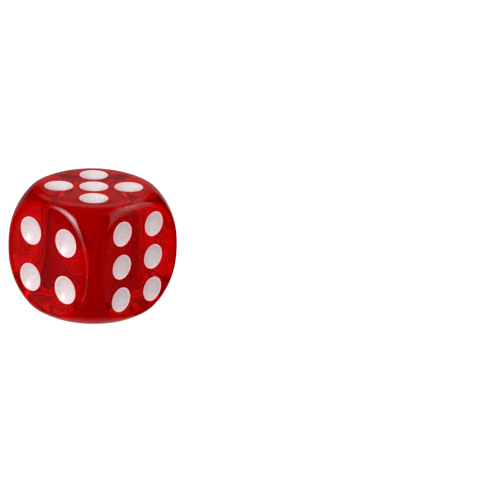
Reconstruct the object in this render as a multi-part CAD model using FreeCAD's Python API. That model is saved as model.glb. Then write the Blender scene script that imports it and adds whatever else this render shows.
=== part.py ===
import FreeCAD, Part
import math
import os

# A round-cornered translucent playing die: one cast body with a ball-milled recess for
# each of its 21 pips, and an enamel fill in every recess, dished like a shallow cup.
# Millimetres. The origin is the centre of the bottom face, the 2, and +Z is up, out of
# the 5. +X looks out of the 4 and +Y out of the 6, and opposite faces add up to seven.

# The body
EDGE = 19.0               # across the flat faces
CORNER_SPHERE_R = 12.92   # the corners lie on this sphere about the die's centre
BLEND_R = 1.9             # every ridge between a face, an edge and a corner is this round

# The pips, measured on their face from its two centre lines
PIP_R = 2.18              # mouth of a recess on the faces 1 to 5
CORNER_PIP_OFFSET = 3.71  # pips near the corners of the 2, 3, 4 and 5
SIX_PIP_R = 1.95          # the 6 has smaller pips, to leave red between them
SIX_ROW_OFFSET = 3.34     # its two rows of three, from the centre line between them
SIX_END_OFFSET = 5.22     # the outer pips of a row, from the middle one

# The recess and its enamel
CUTTER_R = 3.0            # ball-ended cutter that mills every recess
ENAMEL_DISH_R = 3.7       # the enamel dries back to a slightly shallower cup than the recess
ENAMEL_STEP = 0.04        # bare recess wall between the face and the enamel's edge

X = FreeCAD.Vector(1, 0, 0)
Y = FreeCAD.Vector(0, 1, 0)
Z = FreeCAD.Vector(0, 0, 1)
CENTRE = Z * (EDGE / 2)

MIDDLE = [(0, 0)]
DIAGONAL = [(CORNER_PIP_OFFSET, -CORNER_PIP_OFFSET), (-CORNER_PIP_OFFSET, CORNER_PIP_OFFSET)]
OTHER_DIAGONAL = [(CORNER_PIP_OFFSET, CORNER_PIP_OFFSET), (-CORNER_PIP_OFFSET, -CORNER_PIP_OFFSET)]
TWO_ROWS = [
    (along, across)
    for along in (-SIX_END_OFFSET, 0, SIX_END_OFFSET)
    for across in (-SIX_ROW_OFFSET, SIX_ROW_OFFSET)
]

# Each face: its outward normal, the direction of its pips' first coordinate, its pips and
# their mouth radius. The second coordinate runs along normal x first direction.
FACES = {
    "one": (-Y, Z, MIDDLE, PIP_R),
    "two": (-Z, X, DIAGONAL, PIP_R),
    "three": (-X, Y, DIAGONAL + MIDDLE, PIP_R),
    "four": (X, Y, DIAGONAL + OTHER_DIAGONAL, PIP_R),
    "five": (Z, X, DIAGONAL + OTHER_DIAGONAL + MIDDLE, PIP_R),
    "six": (Y, Z, TWO_ROWS, SIX_PIP_R),
}


def blank():
    """The die before its pips: a cube meeting a sphere, with every ridge rounded.

    A smaller cube and sphere are grown by the blend radius, which rounds each ridge to
    exactly that radius and leaves the flats and the corner sphere where they belong.
    """
    core_edge = EDGE - 2 * BLEND_R
    corner = CENTRE - FreeCAD.Vector(core_edge, core_edge, core_edge) / 2
    cube = Part.makeBox(core_edge, core_edge, core_edge, corner)
    core = cube.common(Part.makeSphere(CORNER_SPHERE_R - BLEND_R, CENTRE))
    tolerance = 0.001
    offset_mode = 0
    round_joins = 0
    return core.makeOffsetShape(BLEND_R, tolerance, False, False, offset_mode, round_joins)


def ball(radius, mouth_radius, level):
    """A ball above the plane z = level that cuts a circle of mouth_radius out of it."""
    height = math.sqrt(radius ** 2 - mouth_radius ** 2)
    return Part.makeSphere(radius, Z * (level + height))


def recess_cutter(mouth_radius):
    return ball(CUTTER_R, mouth_radius, 0)


def enamel_fill(mouth_radius):
    """What the cutter took away, up to the enamel's own dished surface."""
    cutter_height = math.sqrt(CUTTER_R ** 2 - mouth_radius ** 2)
    enamel_edge_radius = math.sqrt(CUTTER_R ** 2 - (cutter_height + ENAMEL_STEP) ** 2)
    dish = ball(ENAMEL_DISH_R, enamel_edge_radius, -ENAMEL_STEP)
    return recess_cutter(mouth_radius).cut(dish)


def place_on_face(shape, normal, first, spot):
    """Move a shape made at the origin, with +Z out of the face, to a pip's place."""
    second = normal.cross(first)
    position = CENTRE + normal * (EDGE / 2) + first * spot[0] + second * spot[1]
    placed = shape.copy()
    placed.Placement = FreeCAD.Placement(position, FreeCAD.Rotation(first, second, normal, "ZXY"))
    return placed


def build():
    """Every node of the die by name: the body, and one enamel fill for each pip."""
    nodes = {}
    cutters = []
    for face, (normal, first, spots, mouth_radius) in FACES.items():
        for number, spot in enumerate(spots, start=1):
            cutters.append(place_on_face(recess_cutter(mouth_radius), normal, first, spot))
            fill = place_on_face(enamel_fill(mouth_radius), normal, first, spot)
            nodes[f"{face}_pip_{number}"] = fill
    nodes["die_body"] = blank().cut(cutters)
    return nodes


os.makedirs("parts", exist_ok=True)
for name, shape in build().items():
    shape.exportStep(f"parts/{name}.step")
    print(f"{name}: {len(shape.Solids)} solid, {shape.Volume:.2f} mm3, valid {shape.isValid()}")
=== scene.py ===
"""A translucent red casino die with dished white enamel pips, on a plain pale floor."""
import math

import bmesh
import bpy
import numpy as np
from mathutils import Matrix, Vector


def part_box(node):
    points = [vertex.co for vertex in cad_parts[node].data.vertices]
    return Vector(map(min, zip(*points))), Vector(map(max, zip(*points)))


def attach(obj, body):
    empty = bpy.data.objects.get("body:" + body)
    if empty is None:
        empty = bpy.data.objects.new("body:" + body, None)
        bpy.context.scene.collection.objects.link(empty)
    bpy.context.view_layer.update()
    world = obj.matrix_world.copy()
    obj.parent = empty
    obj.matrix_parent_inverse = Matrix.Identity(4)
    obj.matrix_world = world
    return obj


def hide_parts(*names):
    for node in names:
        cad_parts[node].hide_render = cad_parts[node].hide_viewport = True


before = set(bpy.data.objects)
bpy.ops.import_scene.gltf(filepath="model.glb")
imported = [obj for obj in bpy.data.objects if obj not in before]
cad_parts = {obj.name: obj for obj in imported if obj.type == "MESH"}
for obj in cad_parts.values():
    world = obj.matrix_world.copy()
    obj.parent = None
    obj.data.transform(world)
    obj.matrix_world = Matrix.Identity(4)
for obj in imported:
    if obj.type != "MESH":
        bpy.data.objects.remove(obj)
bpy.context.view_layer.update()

MM = 0.001

# The die's own proportions, in metres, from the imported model
low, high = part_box("die_body")
HALF = (high.z - low.z) / 2
CENTRE = Vector((0, 0, HALF))
SPHERE = 1.318                  # the rounded edges and corners, in half edges
SPHERE_POWER = 2.155            # 2 is a true sphere; a little more fills the corners
RIDGE_POWER = 37                # how crisply the flats meet the rounded edges
CUTTER = 3.0 * MM               # radius of the ball cutter that mills the recesses
ROUNDING = 0.28 * MM            # radius of the rounded edge of each recess
OVERSHOOT = 0.003 * MM          # the cutter's rounding stands this far proud, for a clean cut
STEP = 0.04 * MM                # how far the enamel's edge lies under the face
DISH = 3.3 * MM                 # radius of the enamel's own, shallower cup
LIP = 0.22 * MM                 # width of the rounded lip round that cup
BOND = 0.02 * MM                # the enamel reaches this far into the resin, so they touch
PROUD = 0.3 * MM                # how far the top of the cutter stands out of the face

# How finely the meshes are divided
GRID = 88                       # squares along each face of the blank
TURNS = 72                      # steps round each recess and each pip
RINGS = 18                      # rings from the middle of a cup to its wall
BOND_RINGS = 14                 # the same, for the enamel's hidden underside
FIRST_RING = 0.05               # radius of the first ring, in mouth radii
EDGE_RINGS = 6                  # rings round the edge of a recess
LIP_RINGS = 7                   # rings across the enamel's lip
WELD = 0.0001 * MM              # mesh points closer than this are one point
SHARP = 50                      # the enamel is shaded smooth across ridges up to this, in degrees

X, Y, Z = Vector((1, 0, 0)), Vector((0, 1, 0)), Vector((0, 0, 1))
FACES = {
    "one": -Y,
    "two": -Z,
    "three": -X,
    "four": X,
    "five": Z,
    "six": Y,
}

# The light tent, as seen from the die. Azimuth 0 is towards -Y and 90 towards +X, in degrees.
# Each list holds (angle, brightness) stops. The sides fade into the top and into the floor.
TENT_SIDES = [
    (0, 0.42),
    (28, 0.5),
    (42, 0.83),
    (70, 0.8),
    (150, 0.77),
    (222, 0.75),
    (233, 0.58),
    (243, 0.3),
    (254, 0.1),
    (278, 0.1),
    (292, 0.33),
    (314, 0.37),
    (326, 0.26),
    (342, 0.26),
    (360, 0.42),
]
TENT_TOP = 0.93
TENT_FLOOR = 0.6
TOP_SHARE = [(20, 0), (50, 1)]
FLOOR_SHARE = [(-55, 1), (-32, 0)]

# Lights behind the tent: strength, stops by azimuth and stops by elevation
GLOWS = [
    (
        8.6,        # the key light, on the left
        [(44, 0), (52, 0.35), (62, 0.75), (73, 1), (82, 0.8), (88, 0.05), (91, 0)],
        [(4, 0), (12, 0.35), (17, 0.7), (25, 1), (35, 0.75), (42, 0.1), (45, 0)],
    ),
    (
        1.8,        # the foot of the key light
        [(58, 0), (67, 1), (80, 1), (88, 0)],
        [(-14, 0), (-2, 0.3), (6, 1), (12, 0.6), (18, 0)],
    ),
    (
        1.37,       # the fill light, on the right
        [(176, 0), (184, 0.55), (207, 0.55), (220, 1), (242, 1), (260, 0)],
        [
            (-50, 0),
            (-30, 0.05),
            (-8, 0.1),
            (5, 0.25),
            (26, 0.85),
            (38, 1),
            (48, 1),
            (58, 0.5),
            (72, 0),
        ],
    ),
    (
        0.5,        # a low strip under the key, for the line down the left ridge
        [(60, 0), (67, 1), (76, 1), (83, 0)],
        [(-50, 0), (-30, 0.8), (0, 1), (10, 1), (16, 0)],
    ),
]
BLACK, WHITE = 0.049, 0.9       # the picture's black and white points


# ---------------------------------------------------------------- mesh helpers

def mesh_object(name, points, faces, material):
    """An object with this mesh and one material."""
    mesh = bpy.data.meshes.new(name)
    mesh.from_pydata([tuple(p) for p in points], [], faces)
    mesh.update()
    mesh.materials.append(material)
    made = bpy.data.objects.new(name, mesh)
    bpy.context.collection.objects.link(made)
    return made


# ---------------------------------------------------------------- the body

def on_surface(directions):
    """Where rays from the die's centre leave it.

    Six flats and a slightly squared sphere, joined by a soft maximum that rounds every ridge.
    """
    size = np.abs(directions)
    squared_sphere = (size ** SPHERE_POWER).sum(1) ** (1 / SPHERE_POWER) / SPHERE
    largest = np.maximum(size.max(1), squared_sphere)
    parts = (size / largest[:, None]) ** RIDGE_POWER
    total = parts.sum(1) + (squared_sphere / largest) ** RIDGE_POWER
    reach = HALF / (largest * total ** (1 / RIDGE_POWER))
    return directions * reach[:, None]


def surface_normals(points):
    """Outward normals of the die's surface, at points measured from its centre."""
    size = np.abs(points)
    norm = (size ** SPHERE_POWER).sum(1) ** (1 / SPHERE_POWER)
    squared_sphere = norm / SPHERE
    largest = np.maximum(size.max(1), squared_sphere)
    flat_share = (size / largest[:, None]) ** (RIDGE_POWER - 1)
    round_share = (squared_sphere / largest) ** (RIDGE_POWER - 1) / SPHERE
    slope = flat_share + round_share[:, None] * (size / norm[:, None]) ** (SPHERE_POWER - 1)
    slope *= np.sign(points)
    return slope / np.linalg.norm(slope, axis=1)[:, None]


def settle(points, normal):
    """Lower points onto the surface where it falls away from the plane of their face."""
    points = np.array(points) - np.array(CENTRE)
    axis = np.array(normal)
    sideways = points - np.outer(points @ axis, axis)
    height = np.full(len(points), HALF)
    for _ in range(4):
        direction = sideways + np.outer(height, axis)
        reached = on_surface(direction / np.linalg.norm(direction, axis=1)[:, None])
        height = reached @ axis
    points -= np.outer(HALF - height, axis)
    return points + np.array(CENTRE)


def blank_mesh():
    """The points and faces of a grid on each face of a cube, pushed out to the surface."""
    steps_out = np.tan(np.linspace(-1, 1, GRID + 1) * math.pi / 4)
    points = []
    faces = []
    for normal in (X, -X, Y, -Y, Z, -Z):
        first = Vector((normal.y, normal.z, normal.x))
        second = normal.cross(first)
        start = len(points)
        for v in steps_out:
            for u in steps_out:
                points.append(normal + first * float(u) + second * float(v))
        for row in range(GRID):
            for column in range(GRID):
                corner = start + row * (GRID + 1) + column
                faces.append((corner, corner + 1, corner + GRID + 2, corner + GRID + 1))
    directions = np.array(points)
    directions /= np.linalg.norm(directions, axis=1)[:, None]
    return on_surface(directions) + np.array(CENTRE), faces


def pip_places():
    """Each pip's node, the middle of its mouth, its face's normal and its mouth's radius."""
    places = []
    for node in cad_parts:
        if node == "die_body":
            continue
        normal = FACES[node.split("_")[0]]
        low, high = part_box(node)
        middle = (low + high) / 2
        edge = max(high - low) / 2
        ball_height = math.sqrt(CUTTER ** 2 - edge ** 2) - STEP
        mouth = math.sqrt(CUTTER ** 2 - ball_height ** 2)
        height = (middle - CENTRE).dot(normal)
        places.append((node, middle + normal * (HALF - height), normal, mouth))
    return places


def lathe(name, profile, material, place, normal):
    """A closed solid of revolution about the normal. The profile runs from axis to axis."""
    turn = Z.rotation_difference(normal).to_matrix()
    points = []
    for radius, height in profile[1:-1]:
        for k in range(TURNS):
            angle = 2 * math.pi * k / TURNS
            spot = Vector((radius * math.cos(angle), radius * math.sin(angle), height))
            points.append(place + turn @ spot)
    first_pole = len(points)
    points.append(place + turn @ Vector((0, 0, profile[0][1])))
    points.append(place + turn @ Vector((0, 0, profile[-1][1])))
    rings = len(profile) - 2
    faces = []
    for ring in range(rings - 1):
        here, above = ring * TURNS, (ring + 1) * TURNS
        for k in range(TURNS):
            after = (k + 1) % TURNS
            faces.append((here + k, here + after, above + after, above + k))
    last = (rings - 1) * TURNS
    for k in range(TURNS):
        after = (k + 1) % TURNS
        faces.append((first_pole, after, k))
        faces.append((first_pole + 1, last + k, last + after))
    return mesh_object(name, settle(points, normal), faces, material)


def bowl(radius, centre_height, reach_from, reach_to, count):
    """Points (radius, height) up the inside of a ball whose centre is on the axis."""
    spots = []
    for k in range(count):
        reach = reach_from + (reach_to - reach_from) * k / (count - 1)
        spots.append((reach, centre_height - math.sqrt(radius ** 2 - reach ** 2)))
    return spots


def mouth_rounding(mouth):
    """The rounded edge of a recess: the middle of its section, and the wall's slope there."""
    slope = math.asin(mouth / CUTTER)
    middle = (mouth + ROUNDING * math.tan(slope / 2), OVERSHOOT - ROUNDING)
    return middle, slope


def make_cutter(node, place, normal, mouth, material):
    """A ball-nosed cutter that also breaks the edge of the recess it mills."""
    height = math.sqrt(CUTTER ** 2 - mouth ** 2)
    middle, slope = mouth_rounding(mouth)
    wall_end = middle[0] - ROUNDING * math.sin(slope)
    profile = [(0, height - CUTTER)]
    profile += bowl(CUTTER, height, mouth * FIRST_RING, wall_end, RINGS)
    for k in range(1, EDGE_RINGS + 1):
        angle = slope * (1 - k / EDGE_RINGS)
        reach = middle[0] - ROUNDING * math.sin(angle)
        profile.append((reach, middle[1] + ROUNDING * math.cos(angle)))
    profile += [(profile[-1][0], PROUD), (0, PROUD)]
    return lathe("cutter_" + node, profile, material, place, normal)


def make_body(material):
    """The blank of the die, before its pips, as one closed mesh."""
    points, faces = blank_mesh()
    body = mesh_object("resin_body", points, faces, material)
    bm = bmesh.new()
    bm.from_mesh(body.data)
    bmesh.ops.remove_doubles(bm, verts=bm.verts, dist=WELD)
    bmesh.ops.recalc_face_normals(bm, faces=bm.faces)
    bm.to_mesh(body.data)
    bm.free()
    return body


def cut(body, cutters):
    """Mill every recess out of the body at once, then weld what the cut leaves in slivers."""
    joined = cutters[0]
    bm = bmesh.new()
    for cutter in cutters:
        bm.from_mesh(cutter.data)
    bmesh.ops.recalc_face_normals(bm, faces=bm.faces)
    bm.to_mesh(joined.data)
    bm.free()
    boolean = body.modifiers.new("recesses", "BOOLEAN")
    boolean.object = joined
    boolean.operation = "DIFFERENCE"
    boolean.solver = "EXACT"
    graph = bpy.context.evaluated_depsgraph_get()
    mesh = bpy.data.meshes.new_from_object(body.evaluated_get(graph))
    body.modifiers.clear()
    body.data = mesh
    bm = bmesh.new()
    bm.from_mesh(mesh)
    bmesh.ops.remove_doubles(bm, verts=bm.verts, dist=WELD)
    bmesh.ops.dissolve_degenerate(bm, edges=bm.edges, dist=WELD)
    bm.to_mesh(mesh)
    bm.free()
    for cutter in cutters:
        bpy.data.objects.remove(cutter)


def polish(body, places):
    """Give every point of the mesh the normal of the true surface that it stands for."""
    near_mouth = 1.1            # the edge of a recess ends within this many mouth radii
    deepest = 1.2 * MM          # and no recess reaches this far down
    mesh = body.data
    mesh.shade_smooth()
    points = np.empty(len(mesh.vertices) * 3)
    mesh.vertices.foreach_get("co", points)
    points = points.reshape(-1, 3) - np.array(CENTRE)
    normals = surface_normals(points)
    reach = np.linalg.norm(points, axis=1)
    on_outside = on_surface(points / reach[:, None])
    below = np.linalg.norm(on_outside, axis=1) - reach
    for node, place, normal, mouth in places:
        axis = np.array(normal)
        from_mouth = points - np.array(place - CENTRE)
        height = from_mouth @ axis
        sideways = from_mouth - np.outer(height, axis)
        distance = np.linalg.norm(sideways, axis=1)
        inside = (below > WELD) & (distance < mouth * near_mouth)
        inside &= (height > -deepest) & (height < 0)
        middle, slope = mouth_rounding(mouth)
        outward = sideways[inside] / np.maximum(distance[inside], WELD)[:, None]
        ball = axis * math.sqrt(CUTTER ** 2 - mouth ** 2)
        wall = (ball - from_mouth[inside]) / CUTTER
        ring = outward * middle[0] + axis * middle[1]
        edge = (from_mouth[inside] - ring) / ROUNDING
        on_edge = distance[inside] > middle[0] - ROUNDING * math.sin(slope) - WELD
        chosen = np.where(on_edge[:, None], edge, wall)
        normals[inside] = chosen / np.linalg.norm(chosen, axis=1)[:, None]
    mesh.normals_split_custom_set_from_vertices(normals.tolist())


# ---------------------------------------------------------------- the enamel

def make_enamel(node, place, normal, mouth, material):
    """One pip: a dished cup of enamel with a rounded lip, bonded to the wall of its recess."""
    ball_height = math.sqrt(CUTTER ** 2 - mouth ** 2)
    edge = math.sqrt(CUTTER ** 2 - (ball_height + STEP) ** 2)
    under = bowl(CUTTER + BOND, ball_height, mouth * FIRST_RING, edge + BOND, BOND_RINGS)
    dish_reach = edge - LIP
    slope = math.asin(dish_reach / DISH)
    rise = slope * LIP / 2
    dish_height = math.sqrt(DISH ** 2 - dish_reach ** 2) - STEP - rise
    dish = bowl(DISH, dish_height, mouth * FIRST_RING, dish_reach, RINGS)
    lip = []
    for k in range(1, LIP_RINGS + 1):
        share = k / LIP_RINGS
        climb = slope * LIP * (share - share ** 2 / 2)
        lip.append((dish_reach + LIP * share, climb - STEP - rise))
    profile = [(0, ball_height - CUTTER - BOND)] + under
    profile += list(reversed(dish + lip)) + [(0, dish_height - DISH)]
    pip = lathe("enamel_" + node, profile, material, place, normal)
    pip.data.shade_smooth()
    pip.data.set_sharp_from_angle(angle=math.radians(SHARP))
    mark_painted_glow(pip, place, normal, edge, ball_height)
    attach(pip, "root")
    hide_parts(node)


def mark_painted_glow(pip, place, normal, edge, ball_height):
    """Store where a painted glow goes on a pip: 1 on its edge and its bonded underside, else 0.
    The pink there is partly thin paint over red resin and partly painted red light glowing
    through.
    """
    fade = LIP * 0.3
    glow = pip.data.attributes.new("glow", "FLOAT", "POINT")
    ball_middle = place + normal * ball_height
    for vertex, value in zip(pip.data.vertices, glow.data):
        from_axis = vertex.co - place
        reach = (from_axis - normal * from_axis.dot(normal)).length
        share = (reach - (edge - LIP)) / fade
        bonded = (vertex.co - ball_middle).length > CUTTER + BOND / 2
        value.value = 1 if bonded else min(1, max(0, share))


# ---------------------------------------------------------------- materials

def new_material(name):
    """A material that is one Principled shader: itself, the shader and the output node."""
    material = bpy.data.materials.new(name)
    material.use_nodes = True
    nodes = material.node_tree.nodes
    nodes.clear()
    output = nodes.new("ShaderNodeOutputMaterial")
    shader = nodes.new("ShaderNodeBsdfPrincipled")
    material.node_tree.links.new(shader.outputs["BSDF"], output.inputs["Surface"])
    return material, shader, output


def feed(owner, socket, value):
    """Give an input of a material's or world's node a number, a colour or another's output."""
    if isinstance(value, bpy.types.NodeSocket):
        owner.node_tree.links.new(value, socket)
    else:
        socket.default_value = value


def set_up(material, node, **inputs):
    """Feed a node's inputs by name."""
    for name, value in inputs.items():
        feed(material, node.inputs[name.replace("_", " ")], value)
    return node


def linked(material, kind, **inputs):
    """Add a shader node and feed its inputs."""
    return set_up(material, material.node_tree.nodes.new(kind), **inputs)


def noise(material, per_mm, detail, roughness):
    """A cloud between 0 and 1, fixed to the object, with this many billows to the millimetre."""
    place = linked(material, "ShaderNodeTexCoord")
    cloud = linked(
        material,
        "ShaderNodeTexNoise",
        Vector=place.outputs["Object"],
        Scale=per_mm / MM,
        Detail=detail,
        Roughness=roughness,
    )
    return cloud.outputs["Fac"]


def between(material, value, low, high):
    """Stretch the middle of a cloud, where most of it lies, over a range of numbers."""
    spread = linked(
        material,
        "ShaderNodeMapRange",
        Value=value,
        From_Min=0.3,
        From_Max=0.7,
        To_Min=low,
        To_Max=high,
    )
    return spread.outputs["Result"]


def blend(material, share, first, second):
    """Mix two colours."""
    mix = material.node_tree.nodes.new("ShaderNodeMix")
    mix.data_type = "RGBA"
    for name, value in (("Factor_Float", share), ("A_Color", first), ("B_Color", second)):
        feed(material, next(s for s in mix.inputs if s.identifier == name), value)
    return next(s for s in mix.outputs if s.identifier == "Result_Color")


def red_resin():
    """Clear red resin, a little cloudy: most light passes, the rest is scattered back."""
    material, shader, output = new_material("polished_red_resin")
    cloud = between(material, noise(material, 0.35, 3, 0.6), 0, 1)
    colour = blend(material, cloud, (0.61, 0.0, 0.003, 1), (0.73, 0.0, 0.004, 1))
    set_up(material, shader, Base_Color=colour, Transmission_Weight=0.87, IOR=1.55, Roughness=0)
    absorption = linked(
        material,
        "ShaderNodeVolumeAbsorption",
        Color=(0.998, 0.0, 0.01, 1),
        Density=1 / MM,
    )
    set_up(material, output, Volume=absorption.outputs["Volume"])
    return material


def white_enamel():
    """Glossy off-white enamel, faintly mottled, with a painted glow: its thin lip is coloured
    bright pink for red light coming through from the resin.
    """
    material, shader, output = new_material("dished_white_enamel")
    mottle = between(material, noise(material, 2.4, 5, 0.6), 0, 1)
    white = blend(material, mottle, (0.535, 0.453, 0.462, 1), (0.675, 0.571, 0.582, 1))
    glow = linked(material, "ShaderNodeAttribute")
    glow.attribute_name = "glow"
    # painted glow: the lip is bright pink, partly thin paint over red resin and partly painted
    # red light passing through it
    colour = blend(material, glow.outputs["Fac"], white, (0.95, 0.52, 0.54, 1))
    gloss = between(material, noise(material, 3.0, 2, 0.5), 0.09, 0.17)
    set_up(material, shader, Base_Color=colour, Roughness=gloss)
    return material


def pale_floor():
    """A white sweep, lit from within so that it has no edge."""
    material, shader, output = new_material("pale_floor")
    set_up(material, shader, Base_Color=(0.1, 0.1, 0.1, 1), Roughness=1, Specular_IOR_Level=0)
    set_up(material, shader, Emission_Color=(1, 1, 1, 1), Emission_Strength=0.9)
    return material


# ---------------------------------------------------------------- the studio

def make_floor():
    """A wide plain floor just under the die. Only the camera sees it."""
    gap = 0.02 * MM
    reach = 1.5
    signs = ((-1, -1), (1, -1), (1, 1), (-1, 1))
    corners = [(reach * x, reach * y, -gap) for x, y in signs]
    floor = mesh_object("floor", corners, [(0, 1, 2, 3)], pale_floor())
    floor.visible_diffuse = False
    floor.visible_glossy = False
    floor.visible_transmission = False
    floor.visible_shadow = False


def towards(azimuth, elevation):
    """A unit vector out of the die. Azimuth 0 is towards -Y, 90 towards +X."""
    a, e = math.radians(azimuth), math.radians(elevation)
    return Vector((math.sin(a) * math.cos(e), -math.cos(a) * math.cos(e), math.sin(e)))


def make_camera():
    """A long lens from the near corner, a little above the die, aimed past its right side."""
    azimuth, elevation, roll = 131.63, 20.56, 2.14
    distance = 51.05 * HALF
    aim_right, aim_down = 2.503 * HALF, 0.075 * HALF
    lens_in_frames = 6.415
    back = towards(azimuth, elevation)
    data = bpy.data.cameras.new("camera")
    data.sensor_width = 36
    data.lens = lens_in_frames * data.sensor_width
    data.clip_start, data.clip_end = 0.01, 10
    camera = bpy.data.objects.new("camera", data)
    bpy.context.collection.objects.link(camera)
    level = back.to_track_quat("Z", "Y").to_matrix()
    turned = level @ Matrix.Rotation(math.radians(roll), 3, "Z")
    right, up = turned.col[0], turned.col[1]
    camera.matrix_world = turned.to_4x4()
    camera.location = CENTRE + back * distance + right * aim_right - up * aim_down
    bpy.context.scene.camera = camera


def light_tent():
    """A world of soft light round the die, as bright in each direction as the stops say."""
    world = bpy.data.worlds.new("studio")
    world.use_nodes = True
    nodes, links = world.node_tree.nodes, world.node_tree.links

    def combine(operation, *values):
        node = nodes.new("ShaderNodeMath")
        node.operation = operation
        for socket, value in zip(node.inputs, values):
            feed(world, socket, value)
        return node.outputs["Value"]

    def profile(angle, stops, first_angle, last_angle):
        """A smooth curve through (angle, brightness) stops."""
        ramp = nodes.new("ShaderNodeValToRGB")
        ramp.color_ramp.interpolation = "EASE"
        points = ramp.color_ramp.elements
        points.remove(points[1])
        for k, (stop, brightness) in enumerate(stops):
            position = (stop - first_angle) / (last_angle - first_angle)
            point = points[0] if k == 0 else points.new(position)
            point.position = position
            point.color = (brightness, brightness, brightness, 1)
        links.new(angle, ramp.inputs["Fac"])
        return ramp.outputs["Color"]

    place = nodes.new("ShaderNodeTexCoord")
    axes = nodes.new("ShaderNodeSeparateXYZ")
    links.new(place.outputs["Generated"], axes.inputs["Vector"])
    south = combine("MULTIPLY", axes.outputs["Y"], -1)
    turn = combine("ARCTAN2", axes.outputs["X"], south)
    azimuth = combine("FRACT", combine("ADD", combine("DIVIDE", turn, 2 * math.pi), 1))
    rise = combine("ARCSINE", axes.outputs["Z"])
    elevation = combine("ADD", combine("DIVIDE", rise, math.pi), 0.5)

    sides = profile(azimuth, TENT_SIDES, 0, 360)
    share_over = profile(elevation, TOP_SHARE, -90, 90)
    share_under = profile(elevation, FLOOR_SHARE, -90, 90)
    share_round = combine("SUBTRACT", combine("SUBTRACT", 1, share_over), share_under)
    total = combine("MULTIPLY", sides, share_round)
    total = combine("ADD", total, combine("MULTIPLY", share_over, TENT_TOP))
    total = combine("ADD", total, combine("MULTIPLY", share_under, TENT_FLOOR))
    for strength, across, up in GLOWS:
        wide, high = profile(azimuth, across, 0, 360), profile(elevation, up, -90, 90)
        glow = combine("MULTIPLY", combine("MULTIPLY", wide, high), strength)
        total = combine("ADD", total, glow)
    links.new(total, nodes["Background"].inputs["Color"])
    return world


def make_studio():
    """The picture's tones, the light, the floor and the camera."""
    scene = bpy.context.scene
    scene.view_settings.view_transform = "Standard"
    scene.view_settings.use_curve_mapping = True
    scene.view_settings.curve_mapping.black_level = (BLACK, BLACK, BLACK)
    scene.view_settings.curve_mapping.white_level = (WHITE, WHITE, WHITE)
    scene.view_settings.curve_mapping.update()
    scene.world = light_tent()
    make_floor()
    make_camera()


# ---------------------------------------------------------------- everything

make_studio()
places = pip_places()
resin = red_resin()
enamel = white_enamel()
body = make_body(resin)
cut(body, [make_cutter(*place, resin) for place in places])
polish(body, places)
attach(body, "root")
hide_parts("die_body")
for node, place, normal, mouth in places:
    make_enamel(node, place, normal, mouth, enamel)
